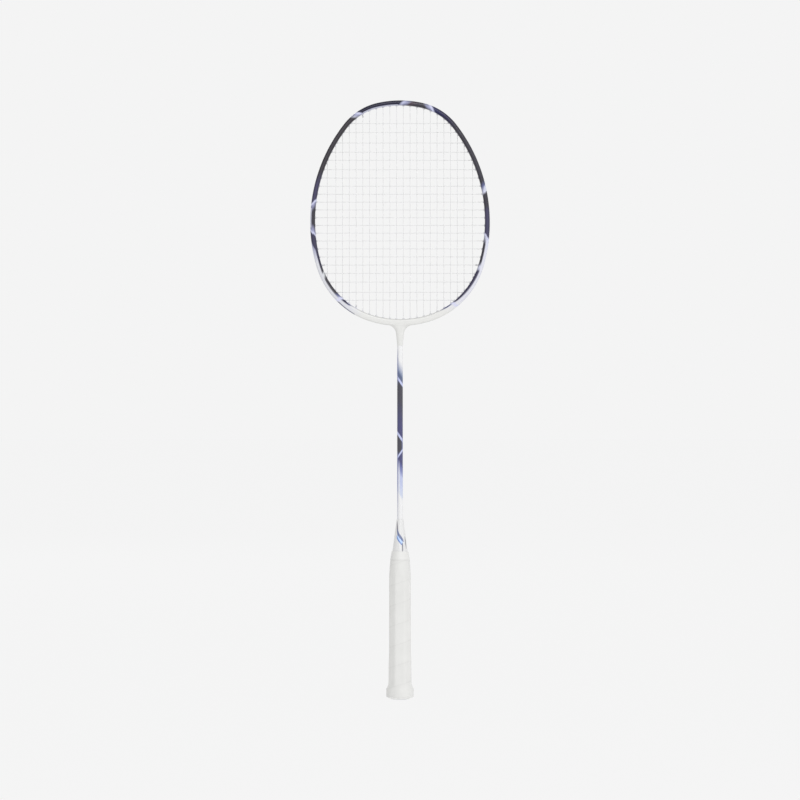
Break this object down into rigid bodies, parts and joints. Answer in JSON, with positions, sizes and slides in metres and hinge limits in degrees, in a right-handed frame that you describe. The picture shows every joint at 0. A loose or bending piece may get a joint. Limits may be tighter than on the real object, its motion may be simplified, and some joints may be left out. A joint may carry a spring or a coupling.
{
  "type": "badminton racket",
  "caption": "Strung badminton racket: hollow oval head on a slim round shaft, with a tapered cone and an octagonal wound grip that flares at the butt.",
  "frame": {"origin": "centre of the butt's end disc, the lowest point of the racket held head up", "axes": "+Z along the shaft from the butt to the crown, X across the face, -Y out of the front face"},
  "size_m": [0.2024, 0.031, 0.675],
  "materials": {
    "frame_lacquer": "clear lacquer over painted carbon",
    "joint_carbon": "moulded carbon composite",
    "shaft_lacquer": "clear lacquer over painted carbon",
    "cone_plastic": "moulded, printed and lacquered",
    "core_wood": "sawn and turned",
    "cap_plastic": "moulded",
    "disc_plastic": "plain, bare of any mark",
    "pin_steel": "drawn wire",
    "adhesive_tape": "woven backing",
    "grip_pu": "synthetic grip strip, satin",
    "finish_tape": "vinyl tape",
    "grommet_nylon": "moulded nylon, slightly see-through",
    "string_nylon": "braided multifilament nylon, coated"
  },
  "bodies": {
    "root": {"frame": "frame_lacquer", "t_joint": "joint_carbon", "shaft": "shaft_lacquer", "cone": "cone_plastic", "handle_core": "core_wood", "butt_cap": "cap_plastic", "butt_disc": "disc_plastic", "cap_pins": "pin_steel", "grip_tape": "adhesive_tape", "grip_wrap": "grip_pu", "finishing_tape": "finish_tape", "grommets_crown": "grommet_nylon", "grommets_throat": "grommet_nylon", "grommets_left": "grommet_nylon", "grommets_right": "grommet_nylon", "main_string": "string_nylon", "cross_string": "string_nylon"}
  },
  "joints": []
}
